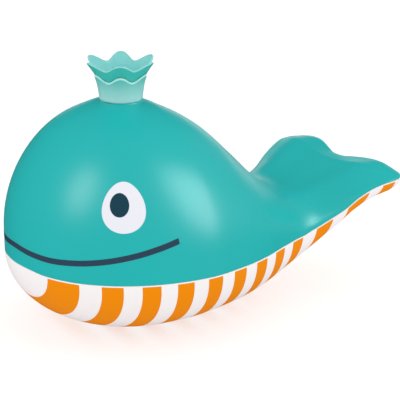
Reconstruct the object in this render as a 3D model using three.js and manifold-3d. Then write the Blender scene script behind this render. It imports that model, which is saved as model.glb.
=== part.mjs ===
// Bubble-blowing whale bath toy: two moulded shells, a two-tier spout, and the air way inside.
// Millimetres. x runs from the nose (-) to the tail (+), y across, z up from the floor.
// Breath goes in at the tail, through a one-way valve and a hose to a diffuser in the belly,
// and the foam climbs a riser to the spout on the head.
import * as THREE from "three";
import { mergeVertices } from "three/addons/utils/BufferGeometryUtils.js";
import Module from "manifold-3d";

const wasm = await Module();
wasm.setup();

// Body outline
const NOSE_X = -107;
const HEAD_X = -31; // widest station of the head
const HEAD_HALF_WIDTH = 66.4;
const DOME_X = -51; // highest station of the head
const DOME_TOP = 77.6; // above the seam's level
const DOME_ROUND = 1.9; // 2 makes the front of the dome an ellipse, less makes it leaner
const SEAM_Z = 39; // level of the seam under the body
const SKIRT = 12; // upright wall between the seam and the dome
const CHIN_X = -42; // the belly turns up to the nose from here
const LOBE_X = 94; // widest station of the tail lobes
const TAIL_END_X = 110.7; // end of the tail before the notch is taken out
const TAIL_ROUND = 3.8; // 2 ends the tail as an ellipse, more makes it squarer
const NOTCH_X = 54; // the notch in the tail starts to pull from here
const NOTCH_DEPTH = 13;
const NOTCH_WIDTH = 26;
// Pairs of station x and size behind the head
const HALF_WIDTH = [
  [HEAD_X, HEAD_HALF_WIDTH], [-7, 62], [10, 56.2], [27, 48], [44, 41.2], [52, 40], [61, 41], [78, 45.6],
  [LOBE_X, 50.8],
];
const SEAM_RISE = [
  [36, 0], [44, 0.3], [52, 2.2], [61, 6], [70, 10.8], [78, 17], [86, 21.2], [LOBE_X, 23.6], [TAIL_END_X, 25],
];
const BACK_HEIGHT = [
  [DOME_X, DOME_TOP], [-31, DOME_TOP - 2.1], [-21, DOME_TOP - 5.4], [-6, DOME_TOP - 14],
  [9, 49.8], [24, 34.8], [36, 25.2], [46, 19.4], [58, 17.5], [72, 20.3], [LOBE_X, 27.6],
];
const KEEL_HEIGHT = [
  [HEAD_X, -1.2], [-1, 0.4], [24, 4], [39, 9], [54, 17], [66, 26.4], [78, 36.8], [LOBE_X, 46.4], [TAIL_END_X, 49],
];
const SEAM_SWAY = [ // the seam lifts a little at the nose and sags under the waist
  [NOSE_X, 1.6], [-102, 0.5], [-88, -0.2], [-30, -0.7], [10, -1], [70, -1], [LOBE_X, 0],
];
const SKIRT_SHARE = [[-46, 1], [-16, 0.82], [14, 0.38], [44, 0.05]];
const LOBE_RISE = [[34, 0], [54, 1.9], [74, 2.2], [LOBE_X, 2.4]]; // lobes over the arch of the tail
const LOBE_OUT = 1.5; // over 1 moves the crests of the lobes outwards

// Shells and seam
const WALL = 3;
const SEAM_GAP = 0.3;
const GROOVE_INSET = 0.8; // gasket groove in the belly's rim
const GROOVE_WIDTH = 1.4;
const GROOVE_DEPTH = 1.2;
const GASKET_CLEARANCE = 0.2;
const TAB_X = [-78, -36, 6]; // locating tabs of the upper shell, one on each side
const TAB_WIDTH = 8;
const TAB_THICK = 2;
const TAB_ABOVE = 5;
const TAB_BELOW = 4;
const TAB_CLEARANCE = 1.2;
const TAB_ROOT = 0.8; // how far a tab's root goes into the wall
const FIT = 0.3; // clearance between pieces that seat on each other

// Spout on the head
const CROWN_X = -44;
const SEAT_RISE = 1.1; // flat seat above the dome
const SEAT_R = 11.6;
const SWELL = 2.1; // the dome swells round the seat
const SWELL_R = 18; // and runs out beyond this
const STEM_R = 8.5;
const STEM_LENGTH = 16.6;
const LEDGE = 1.6; // ledge at the foot of the stem that holds the screen
const LEDGE_R = 5.6;
const SEAL_GROOVE_UP = 7; // from the foot of the stem
const SEAL_GROOVE_WIDTH = 2;
const SEAL_GROOVE_DEPTH = 1.2;
const SCALLOPS = 6;
const CUP_BASE_R = 11.2;
const CUP_RIM_R = 13.6;
const CUP_FLARE = 1; // the rim's peaks also reach further out
const CUP_RIM_UP = 12.4; // mean height of the cup's wavy rim over the seat
const CUP_WAVE = 1.6;
const CUP_WALL = 1.2;
const CUP_FLOOR = 1.6;
const FUNNEL_TUBE_R = 6.6;
const FUNNEL_WALL = 1.2;
const FUNNEL_RIM_R = 16.85;
const FUNNEL_FLARE = 2.15;
const FUNNEL_RIM_UP = 18.9;
const FUNNEL_WAVE = 1.9;
const SCREEN_THICK = 1.2;
const SCREEN_HOLE_R = 0.75;
const COLLAR_LENGTH = 18.7; // from the seat down into the head

// Foam riser, diffuser and hose
const RISER_WALL = 1.8;
const RISER_BORE_R = 7.5;
const RISER_HEAD_GAP = 2.6; // under the dome
const BELL_R = 20;
const BELL_FLOOR_GAP = 3.4; // over the belly's floor, for the liquid to run in
const BELL_HEIGHT = 40;
const BELL_SOCKET = 8; // the tube is pushed this far into the bell
const ARCH_WIDTH = 9;
const ARCH_HEIGHT = 6;
const DIFFUSER_R = 6.5;
const DIFFUSER_HEIGHT = 9;
const DIFFUSER_WALL = 1.3;
const DIFFUSER_FOOT_R = 4; // peg that stands on the belly's floor
const DIFFUSER_FOOT = 3;
const DIFFUSER_HOLES = 8;
const DIFFUSER_HOLE_R = 0.7;
const SPIGOT_R = 3;
const SPIGOT_BORE_R = 1.8;
const SPIGOT_REACH = 30; // from the riser's axis
const HOSE_GRIP = 6.5; // hose pushed over a spigot
const HOSE_WALL = 1;

// Air inlet on the tail, along an axis that slopes down to the front
const INLET_X = 96.5;
const INLET_Z = 55;
const INLET_SLOPE = THREE.MathUtils.degToRad(12);
const SOCKET_R = 6;
const SOCKET_BORE_R = 4.3;
const SOCKET_LENGTH = 21;
const LIP_RECESS = 0.4; // room round the mouthpiece's lip under the edge of the tail
const MOUTH_BORE_R = 2.4;
const MOUTH_LIP_R = 5.6;
const MOUTH_LIP = 2.9;
const MOUTH_SHAFT = 9;
const VALVE_R = 6.4;
const VALVE_SPIGOT = 5.5;
const VALVE_LENGTH = 6;
const VALVE_SEAT = 1.8; // plate with the air hole
const VALVE_WALL = 1.2;
const VALVE_PLUG = 1.7; // cap pushed into the valve body
const VALVE_CAP = 2;
const BARB_LENGTH = 13;
const DISC_THICK = 0.8;
const DISC_NOTCHES = 4;
const DISC_NOTCH_R = 1.5;

// Facets
const NOSE_STEPS = 10;
const BODY_STEPS = 20;
const TAIL_STEPS = 8;
const ARC_STEPS = 16;
const TURN_STEPS = 24;
const WAVE_STEPS = 6; // per scallop
const HOLE_STEPS = 6;
const HOSE_STEPS = 17;
const HOSE_SIDES = 6; // in half a turn

// Worked out from the sizes above
const DOME_Z = SEAM_Z + DOME_TOP;
const SEAT_Z = DOME_Z + SEAT_RISE;
const CROWN_Z = SEAT_Z + FIT;
const STEM_Z = CROWN_Z - STEM_LENGTH;
const SCREEN_Z = STEM_Z + LEDGE + FIT;
const FUNNEL_Z = SCREEN_Z + SCREEN_THICK + FIT;
const COLLAR_Z = SEAT_Z - COLLAR_LENGTH;
const COLLAR_BORE_R = STEM_R + FIT;
const RISER_TOP_Z = DOME_Z - WALL - RISER_HEAD_GAP;
const RISER_SEAT_Z = COLLAR_Z - FIT;
const FLOOR_Z = KEEL_HEIGHT[0][1] + WALL;
const BELL_Z = FLOOR_Z + BELL_FLOOR_GAP;
const TUBE_R = RISER_BORE_R + RISER_WALL;
const TUBE_END_Z = BELL_Z + BELL_HEIGHT;
const SPIGOT_Z = FLOOR_Z + FIT + DIFFUSER_FOOT + DIFFUSER_HEIGHT / 2;
const HOSE_BORE_R = SPIGOT_R + FIT;
const VALVE_START = SOCKET_LENGTH + FIT; // along the inlet axis, from its mouth
const VALVE_END = VALVE_START + VALVE_LENGTH;
const CAP_START = VALVE_END + FIT;
const BARB_START = CAP_START + VALVE_CAP;
const BARB_END = BARB_START + BARB_LENGTH;
const SHAFT_R = SOCKET_BORE_R - FIT;
const CHAMBER_R = VALVE_R - VALVE_WALL;
const DISC_R = CHAMBER_R - 2 * FIT;

// Materials
const plastic = (color, roughness) => new THREE.MeshStandardMaterial({ color, roughness, metalness: 0 });
const TEAL = plastic(0x22b2b3, 0.45);
const WHITE = plastic(0xf5f1ee, 0.4);
const PALE_TEAL = plastic(0x72c7c2, 0.25);
const MILKY = plastic(0xdfe6e4, 0.5);
const SILICONE = plastic(0xe9ecea, 0.6);

// Smooth curve through pairs that starts level and never overshoots between them
function through(pairs) {
  const steps = pairs.slice(1).map((pair, i) => pair[0] - pairs[i][0]);
  const slopes = pairs.slice(1).map((pair, i) => (pair[1] - pairs[i][1]) / steps[i]);
  const tangents = pairs.map((pair, i) => {
    if (i === 0) return 0;
    if (i === pairs.length - 1) return slopes[i - 1];
    if (slopes[i - 1] * slopes[i] <= 0) return 0;
    const before = 2 * steps[i] + steps[i - 1];
    const after = steps[i] + 2 * steps[i - 1];
    return (before + after) / (before / slopes[i - 1] + after / slopes[i]);
  });
  return (x) => {
    if (x <= pairs[0][0]) return pairs[0][1];
    if (x >= pairs[pairs.length - 1][0]) return pairs[pairs.length - 1][1];
    const i = pairs.findIndex((pair) => pair[0] > x) - 1;
    const t = (x - pairs[i][0]) / steps[i];
    const start = pairs[i][1] * (1 + 2 * t) * (1 - t) ** 2 + steps[i] * tangents[i] * t * (1 - t) ** 2;
    const end = pairs[i + 1][1] * t * t * (3 - 2 * t) + steps[i] * tangents[i + 1] * t * t * (t - 1);
    return start + end;
  };
}
const halfWidth = through(HALF_WIDTH);
const seamRise = through(SEAM_RISE);
const seamSway = through(SEAM_SWAY);
const backHeight = through(BACK_HEIGHT);
const keelHeight = through(KEEL_HEIGHT);
const skirtShare = through(SKIRT_SHARE);
const lobeRise = through(LOBE_RISE);

// Height of a quarter of a round at a share of its length: power 2 is an ellipse
const quarter = (share, power = 2) => Math.max(0, 1 - Math.max(0, share) ** power) ** (1 / power);

// Stations along the body: close runs from 1 to 0 where the tail rounds off
function stations(inset) {
  const list = [];
  for (let k = 0; k <= NOSE_STEPS; k++) {
    const angle = (k / NOSE_STEPS) * (Math.PI / 2);
    list.push({ x: HEAD_X - (HEAD_X - NOSE_X - inset) * Math.cos(angle), close: 1 });
  }
  for (let k = 1; k <= BODY_STEPS; k++) {
    list.push({ x: THREE.MathUtils.lerp(HEAD_X, LOBE_X, k / BODY_STEPS), close: 1 });
  }
  for (let k = 1; k <= TAIL_STEPS; k++) {
    const angle = (k / TAIL_STEPS) * (Math.PI / 2);
    const reach = (TAIL_END_X - inset - LOBE_X) * Math.sin(angle) ** (2 / TAIL_ROUND);
    const close = k === TAIL_STEPS ? 0 : Math.cos(angle) ** (2 / TAIL_ROUND);
    list.push({ x: LOBE_X + reach, close });
  }
  return list;
}

// Half width, seam, skirt, rise to the back and depth to the keel of the body, inset by a wall
function section({ x, close }, inset) {
  const along = Math.min(x, LOBE_X);
  const headWidth = (HEAD_HALF_WIDTH - inset) * quarter((HEAD_X - x) / (HEAD_X - NOSE_X - inset));
  const sway = seamSway(x);
  const seam = SEAM_Z + seamRise(x) + sway;
  const skirt = SKIRT * skirtShare(x) - sway;
  const front = (DOME_X - x) / (DOME_X - NOSE_X - inset);
  const dome = (DOME_TOP - SKIRT - inset) * quarter(front, DOME_ROUND);
  const back = Math.max(0, SEAM_Z + backHeight(along) - inset - seam - skirt);
  const chin = quarter((CHIN_X - x) / (CHIN_X - NOSE_X - inset));
  const blunt = Math.sqrt(close); // the tail keeps its thickness almost to the end
  return {
    width: close * (x < HEAD_X ? headWidth : halfWidth(along) - inset),
    seam,
    skirt: blunt * skirt,
    rise: blunt * (x < DOME_X ? dome : back),
    depth: close * chin * (seam - keelHeight(x) - inset),
    lobe: blunt * lobeRise(x),
    pull: NOTCH_DEPTH * THREE.MathUtils.clamp((x - NOTCH_X) / (TAIL_END_X - inset - NOTCH_X), 0, 1) ** 2,
  };
}

// The notch pulls the middle of the tail forward
function bodyPoint(x, y, z, pull) {
  return new THREE.Vector3(x - pull * Math.exp(-((y / NOTCH_WIDTH) ** 2)), y, z);
}

// Rows of points over the back, from the near rim to the far one
function upperSkin(inset) {
  return stations(inset).map((station) => {
    const s = section(station, inset);
    const rim = s.seam + SEAM_GAP / 2;
    const row = [bodyPoint(station.x, -s.width, rim, s.pull)];
    for (let k = 0; k <= ARC_STEPS; k++) {
      const angle = (k / ARC_STEPS) * Math.PI;
      const across = Math.cos(angle);
      const crest = s.lobe * Math.sin(Math.PI * Math.abs(across) ** LOBE_OUT) ** 2;
      const z = rim + s.skirt + s.rise * Math.sin(angle) + crest;
      const point = bodyPoint(station.x, -s.width * across, z, s.pull);
      const fromSpout = Math.hypot(point.x - CROWN_X, point.y);
      point.z = Math.min(SEAT_Z - inset, point.z + SWELL * Math.exp(-((fromSpout / SWELL_R) ** 4)));
      row.push(point);
    }
    row.push(bodyPoint(station.x, s.width, rim, s.pull));
    return row;
  });
}

// Rows of points under the belly, from the near rim to the far one
function lowerSkin(inset) {
  return stations(inset).map((station) => {
    const s = section(station, inset);
    const rim = s.seam - SEAM_GAP / 2;
    return Array.from({ length: ARC_STEPS + 1 }, (_, k) => {
      const angle = (k / ARC_STEPS) * Math.PI;
      return bodyPoint(station.x, -s.width * Math.cos(angle), rim - s.depth * Math.sin(angle), s.pull);
    });
  });
}

// Loop round the rim, nose to tail on the near side and back on the far side
function rimOf(skin) {
  const near = skin.map((row) => row[0]);
  const far = skin.slice(1, -1).map((row) => row[row.length - 1]);
  return [...near, ...far.reverse()];
}

function rimLoop(inset, drop) {
  return rimOf(lowerSkin(inset)).map((point) => point.clone().setZ(point.z - drop));
}

// Closed surfaces are gathered as triangles, then merged into a solid that faces out
class Surface {
  corners = [];
  face(a, b, c) {
    this.corners.push(a, b, c);
  }
  quad(a, b, c, d) {
    this.face(a, b, c);
    this.face(a, c, d);
  }
  skin(rows, flip) {
    for (let i = 0; i + 1 < rows.length; i++) {
      for (let j = 0; j + 1 < rows[i].length; j++) {
        const [a, b, c, d] = [rows[i][j], rows[i + 1][j], rows[i + 1][j + 1], rows[i][j + 1]];
        if (flip) this.quad(d, c, b, a);
        else this.quad(a, b, c, d);
      }
    }
  }
  bands(loops, flip) {
    for (let i = 0; i + 1 < loops.length; i++) {
      loops[i].forEach((a, j) => {
        const next = (j + 1) % loops[i].length;
        const [b, c, d] = [loops[i][next], loops[i + 1][next], loops[i + 1][j]];
        if (flip) this.quad(d, c, b, a);
        else this.quad(a, b, c, d);
      });
    }
  }
  solid() {
    return solidOf(new THREE.BufferGeometry().setFromPoints(this.corners));
  }
}

function solidOf(geometry) {
  const bare = new THREE.BufferGeometry();
  const source = geometry.index ? geometry.toNonIndexed() : geometry;
  bare.setAttribute("position", source.getAttribute("position"));
  const merged = mergeVertices(bare, 1e-4);
  const index = merged.index.array;
  const kept = [];
  for (let i = 0; i < index.length; i += 3) {
    const [a, b, c] = [index[i], index[i + 1], index[i + 2]];
    if (a !== b && b !== c && c !== a) kept.push(a, b, c);
  }
  const vertProperties = merged.attributes.position.array;
  const make = (triVerts) => new wasm.Manifold(new wasm.Mesh({ numProp: 3, vertProperties, triVerts }));
  const solid = make(new Uint32Array(kept));
  return solid.volume() > 0 ? solid : make(new Uint32Array(kept.reverse()));
}

function geometryOf(solid) {
  const { vertProperties, triVerts } = solid.getMesh();
  return new THREE.BufferGeometry()
    .setAttribute("position", new THREE.BufferAttribute(new Float32Array(vertProperties), 3))
    .setIndex(new THREE.BufferAttribute(new Uint32Array(triVerts), 1));
}

// Turned piece about the z axis, from pairs of radius and height that close on themselves or on the axis
function turned(pairs, segments = TURN_STEPS) {
  const profile = pairs.map(([radius, height]) => new THREE.Vector2(radius, height));
  if (pairs[0][0] > 0) profile.push(profile[0].clone());
  return new THREE.LatheGeometry(profile, segments).rotateX(Math.PI / 2);
}

function rod(radius, from, to, segments = TURN_STEPS) {
  return turned([[0, from], [radius, from], [radius, to], [0, to]], segments);
}

// Rod along +x from one radius about an upright axis to another
function spoke(radius, from, to, segments = TURN_STEPS) {
  return rod(radius, from, to, segments).rotateY(Math.PI / 2);
}

const INLET_TURN = -(Math.PI / 2 + INLET_SLOPE);

// From the inlet's own frame, z inwards from its mouth, to the body's frame
function onInlet(geometry) {
  return geometry.rotateY(INLET_TURN).translate(INLET_X, 0, INLET_Z);
}

function inletPoint(inwards) {
  const along = new THREE.Vector3(0, 0, inwards).applyAxisAngle(new THREE.Vector3(0, 1, 0), INLET_TURN);
  return along.add(new THREE.Vector3(INLET_X, 0, INLET_Z));
}

// A locating tab: a leg inside the belly's rim and a root in the upper shell's wall
function tab(x, side) {
  const inset = WALL;
  const { width, seam } = section({ x, close: 1 }, inset);
  const ahead = section({ x: x + 1, close: 1 }, inset).width - width;
  const turn = Math.atan2(side * ahead, 1);
  const leg = new THREE.BoxGeometry(TAB_WIDTH, TAB_THICK, TAB_ABOVE + TAB_BELOW);
  leg.translate(0, -side * (TAB_CLEARANCE + TAB_THICK / 2), (TAB_ABOVE - TAB_BELOW) / 2);
  const rootDepth = TAB_ROOT + TAB_CLEARANCE + TAB_THICK;
  const root = new THREE.BoxGeometry(TAB_WIDTH, rootDepth, TAB_ABOVE - SEAM_GAP);
  root.translate(0, side * (TAB_ROOT - rootDepth / 2), (TAB_ABOVE + SEAM_GAP) / 2);
  const place = (geometry) => solidOf(geometry.rotateZ(turn).translate(x, side * width, seam));
  return place(leg).add(place(root));
}

function upperShell() {
  const [outer, inner] = [upperSkin(0), upperSkin(WALL)];
  const surface = new Surface();
  surface.skin(outer, false);
  surface.skin(inner, true);
  surface.bands([rimOf(outer), rimOf(inner)], true);
  let shell = surface.solid();
  shell = shell.add(solidOf(rod(SEAT_R, COLLAR_Z, SEAT_Z).translate(CROWN_X, 0, 0)));
  shell = shell.subtract(solidOf(rod(COLLAR_BORE_R, COLLAR_Z - FIT, SEAT_Z + FIT).translate(CROWN_X, 0, 0)));
  TAB_X.forEach((x) => [-1, 1].forEach((side) => (shell = shell.add(tab(x, side)))));
  return shell;
}

function bellyShell() {
  const [outer, inner] = [lowerSkin(0), lowerSkin(WALL)];
  const grooveEnd = GROOVE_INSET + GROOVE_WIDTH;
  const surface = new Surface();
  surface.skin(outer, true);
  surface.skin(inner, false);
  surface.bands(
    [
      rimOf(outer),
      rimLoop(GROOVE_INSET, 0),
      rimLoop(GROOVE_INSET, GROOVE_DEPTH),
      rimLoop(grooveEnd, GROOVE_DEPTH),
      rimLoop(grooveEnd, 0),
      rimOf(inner),
    ],
    false,
  );
  const below = new THREE.BoxGeometry(4 * HEAD_HALF_WIDTH, 4 * HEAD_HALF_WIDTH, SEAM_Z);
  below.translate(0, 0, -SEAM_Z / 2);
  const socket = solidOf(onInlet(rod(SOCKET_R, 0, SOCKET_LENGTH)));
  const recess = solidOf(onInlet(rod(MOUTH_LIP_R + LIP_RECESS, -SOCKET_LENGTH, 0)));
  const bore = solidOf(onInlet(rod(SOCKET_BORE_R, -FIT, SOCKET_LENGTH + FIT)));
  return surface.solid().subtract(solidOf(below)).add(socket).subtract(recess).subtract(bore);
}

// Silicone cord that fills the groove in the belly's rim
function seamGasket() {
  const near = GROOVE_INSET + GASKET_CLEARANCE;
  const far = GROOVE_INSET + GROOVE_WIDTH - GASKET_CLEARANCE;
  const bottom = GROOVE_DEPTH - GASKET_CLEARANCE;
  const loops = [rimLoop(near, 0), rimLoop(near, bottom), rimLoop(far, bottom), rimLoop(far, 0)];
  const surface = new Surface();
  surface.bands([...loops, loops[0]], false);
  return surface.solid();
}

// Ring with scalloped rows: each row gives a radius and height for a wave from -1 to 1
function scalloped(rows) {
  const count = SCALLOPS * WAVE_STEPS;
  const loops = rows.map(([radius, height, outWave = 0, upWave = 0]) =>
    Array.from({ length: count }, (_, k) => {
      const angle = (k / count) * 2 * Math.PI;
      const wave = Math.cos(SCALLOPS * angle);
      const reach = radius + outWave * wave;
      return new THREE.Vector3(-reach * Math.cos(angle), reach * Math.sin(angle), height + upWave * wave);
    }),
  );
  const surface = new Surface();
  surface.bands([...loops, loops[0]], false);
  return surface.solid();
}

// Lower tier of the spout with the stem that plugs into the head
function crownCup() {
  const groove = SEAL_GROOVE_UP - STEM_LENGTH;
  const grooveR = STEM_R - SEAL_GROOVE_DEPTH;
  const lip = CUP_WALL / 2;
  const middleR = (CUP_BASE_R + CUP_RIM_R) / 2 - lip / 2;
  const boreR = FUNNEL_TUBE_R + FIT;
  return scalloped([
    [STEM_R, -STEM_LENGTH],
    [STEM_R, groove],
    [grooveR, groove],
    [grooveR, groove + SEAL_GROOVE_WIDTH],
    [STEM_R, groove + SEAL_GROOVE_WIDTH],
    [STEM_R, 0],
    [CUP_BASE_R, 0],
    [middleR, CUP_RIM_UP / 2, CUP_FLARE / 4, CUP_WAVE / 4],
    [CUP_RIM_R, CUP_RIM_UP - lip, CUP_FLARE, CUP_WAVE],
    [CUP_RIM_R - lip, CUP_RIM_UP, CUP_FLARE, CUP_WAVE],
    [CUP_RIM_R - CUP_WALL, CUP_RIM_UP - lip, CUP_FLARE, CUP_WAVE],
    [middleR - CUP_WALL, CUP_RIM_UP / 2, CUP_FLARE / 4, CUP_WAVE / 4],
    [CUP_BASE_R - CUP_WALL, CUP_FLOOR],
    [boreR, CUP_FLOOR],
    [boreR, LEDGE - STEM_LENGTH],
    [LEDGE_R, LEDGE - STEM_LENGTH],
    [LEDGE_R, -STEM_LENGTH],
  ]);
}

// Upper tier of the spout: a flared funnel whose tube slides into the cup and whose shoulder covers its rim
function crownFunnel() {
  const bowlZ = CUP_FLOOR + FIT;
  const bowlR = CUP_BASE_R - CUP_WALL - 2 * FIT;
  const middleR = (CUP_BASE_R + CUP_RIM_R) / 2 - 1.5 * CUP_WALL - FIT;
  const waistR = CUP_RIM_R - CUP_WALL - 1.5 * FIT;
  const waistUp = CUP_RIM_UP - CUP_WALL / 2;
  const shoulderR = CUP_RIM_R - FIT;
  const shoulderUp = CUP_RIM_UP + 1.5 * FIT;
  const tubeIn = FUNNEL_TUBE_R - FUNNEL_WALL;
  const lip = FUNNEL_WALL / 2;
  return scalloped([
    [FUNNEL_TUBE_R, FUNNEL_Z - CROWN_Z],
    [FUNNEL_TUBE_R, bowlZ],
    [bowlR, bowlZ],
    [middleR, CUP_RIM_UP / 2, CUP_FLARE / 4, CUP_WAVE / 4],
    [waistR, waistUp, CUP_FLARE, CUP_WAVE],
    [waistR + FIT, shoulderUp, CUP_FLARE, CUP_WAVE],
    [shoulderR, shoulderUp, CUP_FLARE, CUP_WAVE],
    [FUNNEL_RIM_R, FUNNEL_RIM_UP - lip, FUNNEL_FLARE, FUNNEL_WAVE],
    [FUNNEL_RIM_R - lip, FUNNEL_RIM_UP, FUNNEL_FLARE, FUNNEL_WAVE],
    [FUNNEL_RIM_R - 2 * FUNNEL_WALL, FUNNEL_RIM_UP - lip, FUNNEL_FLARE, FUNNEL_WAVE],
    [waistR - FUNNEL_WALL, waistUp + FUNNEL_WALL, CUP_FLARE, CUP_WAVE],
    [middleR - FUNNEL_WALL, CUP_RIM_UP / 2, CUP_FLARE / 4, CUP_WAVE / 4],
    [bowlR - FUNNEL_WALL, bowlZ + FUNNEL_WALL],
    [tubeIn, bowlZ + FUNNEL_WALL],
    [tubeIn, FUNNEL_Z - CROWN_Z],
  ]);
}

// Perforated disc: one hole, then rings of six and twelve
function foamScreen() {
  let disc = solidOf(rod(FUNNEL_TUBE_R, 0, SCREEN_THICK));
  const pitch = (LEDGE_R - SCREEN_HOLE_R) / 2.4;
  [0, 1, 2].forEach((ring) => {
    const count = Math.max(1, ring * 6);
    for (let k = 0; k < count; k++) {
      const angle = (k / count) * 2 * Math.PI;
      const hole = rod(SCREEN_HOLE_R, -FIT, SCREEN_THICK + FIT, HOLE_STEPS);
      hole.translate(ring * pitch * Math.cos(angle), ring * pitch * Math.sin(angle), 0);
      disc = disc.subtract(solidOf(hole));
    }
  });
  return disc;
}

// Soft ring in the stem's groove
function crownSeal() {
  const inner = STEM_R - SEAL_GROOVE_DEPTH + GASKET_CLEARANCE;
  const outer = COLLAR_BORE_R - GASKET_CLEARANCE;
  const half = SEAL_GROOVE_WIDTH / 2 - GASKET_CLEARANCE;
  const middle = (inner + outer) / 2;
  return solidOf(turned([[inner, 0], [middle, -half], [outer, 0], [middle, half]]));
}

// Foam riser: sleeve over the head's collar and a straight bore
function riserTube() {
  const sleeve = SEAT_R + FIT;
  const shoulder = RISER_SEAT_Z - 2 * RISER_WALL;
  return solidOf(
    turned([
      [sleeve, RISER_TOP_Z],
      [sleeve, RISER_SEAT_Z],
      [RISER_BORE_R, RISER_SEAT_Z],
      [RISER_BORE_R, TUBE_END_Z],
      [TUBE_R, TUBE_END_Z],
      [TUBE_R, shoulder - RISER_WALL],
      [sleeve + RISER_WALL, shoulder],
      [sleeve + RISER_WALL, RISER_TOP_Z],
    ]),
  );
}

// Bell pushed over the foot of the riser, with arches for the liquid to run in
function riserBell() {
  const socketR = TUBE_R + FIT;
  const socketTop = TUBE_END_Z + BELL_SOCKET;
  const seat = TUBE_END_Z - FIT;
  const waistR = RISER_BORE_R + RISER_WALL;
  const middle = (RISER_BORE_R + BELL_R) / 2;
  const profile = turned([
    [socketR, socketTop],
    [socketR, seat],
    [RISER_BORE_R, seat],
    [waistR, BELL_Z + BELL_HEIGHT / 2],
    [middle, BELL_Z + BELL_HEIGHT / 4],
    [BELL_R, BELL_Z],
    [BELL_R + RISER_WALL, BELL_Z],
    [middle + RISER_WALL, BELL_Z + BELL_HEIGHT / 4],
    [waistR + RISER_WALL, BELL_Z + BELL_HEIGHT / 2],
    [socketR + RISER_WALL, seat],
    [socketR + RISER_WALL, socketTop],
  ]);
  let bell = solidOf(profile);
  const across = 4 * BELL_R;
  [1, 3].forEach((eighth) => {
    const arch = new THREE.BoxGeometry(across, ARCH_WIDTH, 2 * ARCH_HEIGHT);
    bell = bell.subtract(solidOf(arch.rotateZ((eighth * Math.PI) / 4).translate(0, 0, BELL_Z)));
  });
  // Slot that lets the bell lift off the diffuser's spigot
  const room = SPIGOT_R + 2 * FIT;
  const slot = new THREE.BoxGeometry(across, 2 * room, SPIGOT_Z).translate(across / 2, 0, SPIGOT_Z / 2);
  const slotTop = spoke(room, 0, across).translate(0, 0, SPIGOT_Z);
  return bell.subtract(solidOf(slot)).subtract(solidOf(slotTop));
}

// Hollow head with air holes in its top, fed by a spigot through the bell
function diffuser() {
  const half = DIFFUSER_HEIGHT / 2;
  const cavity = rod(DIFFUSER_R - DIFFUSER_WALL, DIFFUSER_WALL - half, half - DIFFUSER_WALL);
  let head = solidOf(rod(DIFFUSER_R, -half, half)).add(solidOf(spoke(SPIGOT_R, 0, SPIGOT_REACH)));
  head = head.add(solidOf(rod(DIFFUSER_FOOT_R, -half - DIFFUSER_FOOT, 0)));
  head = head.subtract(solidOf(cavity));
  head = head.subtract(solidOf(spoke(SPIGOT_BORE_R, 0, SPIGOT_REACH + FIT)));
  for (let k = 0; k < DIFFUSER_HOLES; k++) {
    const angle = (k / DIFFUSER_HOLES) * 2 * Math.PI;
    const hole = rod(DIFFUSER_HOLE_R, 0, half + FIT, HOLE_STEPS);
    const reach = DIFFUSER_R / 2;
    head = head.subtract(solidOf(hole.translate(reach * Math.cos(angle), reach * Math.sin(angle), 0)));
  }
  return head;
}

// Hose from the diffuser's spigot, along the belly and up to the valve's barb
function airHose() {
  const start = CROWN_X + SPIGOT_REACH - HOSE_GRIP;
  const gripped = inletPoint(BARB_END);
  const free = inletPoint(BARB_END + HOSE_GRIP);
  const route = new THREE.CatmullRomCurve3([
    new THREE.Vector3(start, 0, SPIGOT_Z),
    new THREE.Vector3(start + HOSE_GRIP, 0, SPIGOT_Z),
    new THREE.Vector3(start + 2 * HOSE_GRIP, 0, SPIGOT_Z),
    new THREE.Vector3(12, 0, 17),
    new THREE.Vector3(31, 0, 34),
    free,
    gripped,
    inletPoint(BARB_END - HOSE_GRIP),
  ]);
  const ring = new THREE.Shape().absarc(0, 0, HOSE_BORE_R + HOSE_WALL, 0, 2 * Math.PI);
  ring.holes.push(new THREE.Path().absarc(0, 0, HOSE_BORE_R, 0, 2 * Math.PI));
  const options = { steps: HOSE_STEPS, curveSegments: HOSE_SIDES, extrudePath: route };
  return solidOf(new THREE.ExtrudeGeometry(ring, options));
}

// Soft mouthpiece with a rounded lip, pushed into the socket from outside
function mouthpiece() {
  const lipEnd = -FIT - MOUTH_LIP;
  return solidOf(
    turned([
      [MOUTH_BORE_R, MOUTH_SHAFT],
      [MOUTH_BORE_R, lipEnd + MOUTH_LIP / 2],
      [MOUTH_BORE_R + 1, lipEnd],
      [MOUTH_LIP_R - 1, lipEnd],
      [MOUTH_LIP_R, lipEnd + MOUTH_LIP / 2],
      [MOUTH_LIP_R, -FIT],
      [SHAFT_R, -FIT],
      [SHAFT_R, MOUTH_SHAFT],
    ]),
  );
}

// Valve body: spigot in the socket, seat with the air hole, chamber for the disc
function valveBody() {
  return solidOf(
    turned([
      [MOUTH_BORE_R, SOCKET_LENGTH - VALVE_SPIGOT],
      [SHAFT_R, SOCKET_LENGTH - VALVE_SPIGOT],
      [SHAFT_R, VALVE_START],
      [VALVE_R, VALVE_START],
      [VALVE_R, VALVE_END],
      [CHAMBER_R, VALVE_END],
      [CHAMBER_R, VALVE_START + VALVE_SEAT],
      [MOUTH_BORE_R, VALVE_START + VALVE_SEAT],
    ]),
  );
}

// Valve cap: a plug that stops the disc, and the barb for the hose
function valveCap() {
  const plugR = CHAMBER_R - FIT;
  return solidOf(
    turned([
      [plugR - VALVE_WALL, VALVE_END - VALVE_PLUG],
      [plugR, VALVE_END - VALVE_PLUG],
      [plugR, CAP_START],
      [VALVE_R, CAP_START],
      [VALVE_R, BARB_START],
      [SPIGOT_R, BARB_START],
      [SPIGOT_R, BARB_END],
      [SPIGOT_BORE_R, BARB_END],
      [SPIGOT_BORE_R, CAP_START],
      [plugR - VALVE_WALL, CAP_START],
    ]),
  );
}

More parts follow.
